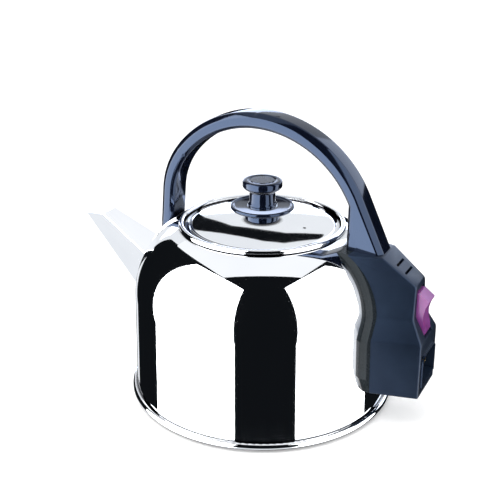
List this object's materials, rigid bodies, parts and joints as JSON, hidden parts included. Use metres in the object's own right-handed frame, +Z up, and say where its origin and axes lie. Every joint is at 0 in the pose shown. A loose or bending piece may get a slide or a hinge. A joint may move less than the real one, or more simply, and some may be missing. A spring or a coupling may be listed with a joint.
{
  "type": "electric kettle",
  "caption": "Corded electric kettle: polished steel dome body, folded steel spout, fixed bail handle, lift-off lid with knob, rear housing with rocker switch and inlet.",
  "frame": {"origin": "centre of the flat base on the surface the kettle stands on", "axes": "+Z up; the spout points to -X and the control housing to +X; the object is symmetric about the XZ plane"},
  "size_m": [0.2927, 0.2, 0.2155],
  "materials": {
    "polished_steel": "polished",
    "satin_steel": "satin",
    "fastener_steel": "satin",
    "handle_phenolic": "gloss",
    "housing_plastic": "satin",
    "flange_plastic": "satin",
    "switch_plastic": "matte",
    "rocker_plastic": "gloss",
    "lamp": "clear",
    "contact_brass": "plain",
    "control_plastic": "matte",
    "bimetal": "plain",
    "rubber": "matte",
    "element_sheath": "satin",
    "lead_insulation": "matte"
  },
  "bodies": {
    "kettle": {"body_shell": "polished_steel", "base_plate": "satin_steel", "base_rim": "polished_steel", "mouth_ring": "polished_steel", "spout_trough": "polished_steel", "spout_plate": "polished_steel", "front_bracket": "satin_steel", "handle": "handle_phenolic", "bracket_stud": "fastener_steel", "handle_screw": "fastener_steel", "housing_flange": "flange_plastic", "housing_shell": "housing_plastic", "housing_floor": "housing_plastic", "housing_screws": "fastener_steel", "inlet_shroud": "housing_plastic", "inlet_insulator": "control_plastic", "pin_line": "contact_brass", "pin_neutral": "contact_brass", "pin_earth": "contact_brass", "rocker_pin": "fastener_steel", "switch_frame": "switch_plastic", "switch_contacts": "contact_brass", "neon_lamp": "lamp", "lever_pin": "fastener_steel", "steam_bimetal": "bimetal", "steam_grommet": "rubber", "element_tube": "element_sheath", "element_head": "contact_brass", "element_gasket": "rubber", "clamp_plate": "satin_steel", "clamp_screws": "fastener_steel", "control_block": "control_plastic", "dry_boil_disc": "bimetal", "leads": "lead_insulation"},
    "lid": {"lid_plate": "polished_steel", "lid_skirt": "satin_steel", "knob_foot": "handle_phenolic", "knob_flange": "handle_phenolic", "knob_body": "handle_phenolic", "knob_cap": "handle_phenolic", "knob_screw": "fastener_steel", "lid_washer": "fastener_steel"},
    "rocker": {"rocker": "rocker_plastic"},
    "trip_lever": {"trip_lever": "control_plastic"},
    "push_rod": {"push_rod": "control_plastic"}
  },
  "joints": [
    {"name": "lid_lift", "type": "slide", "parent": "kettle", "child": "lid", "axis": [0, 0, 1], "range_m": [0, 0.036]},
    {"name": "rocker_tilt", "type": "hinge", "parent": "kettle", "child": "rocker", "pos_m": [0.117, 0, 0.0865], "axis": [0, -1, 0], "range_deg": [0, 16]},
    {"name": "rod_slide", "type": "slide", "parent": "kettle", "child": "push_rod", "axis": [1, 0, 0], "range_m": [0, 0.0021]},
    {"name": "lever_swing", "type": "hinge", "parent": "kettle", "child": "trip_lever", "pos_m": [0.1005, 0, 0.1155], "axis": [0, -1, 0], "range_deg": [0, 3.3]}
  ],
  "couplings": [
    {"joint": "rod_slide", "follows": "rocker_tilt", "m_per_rad": 0.0065},
    {"joint": "lever_swing", "follows": "rocker_tilt", "ratio": 0.18}
  ]
}
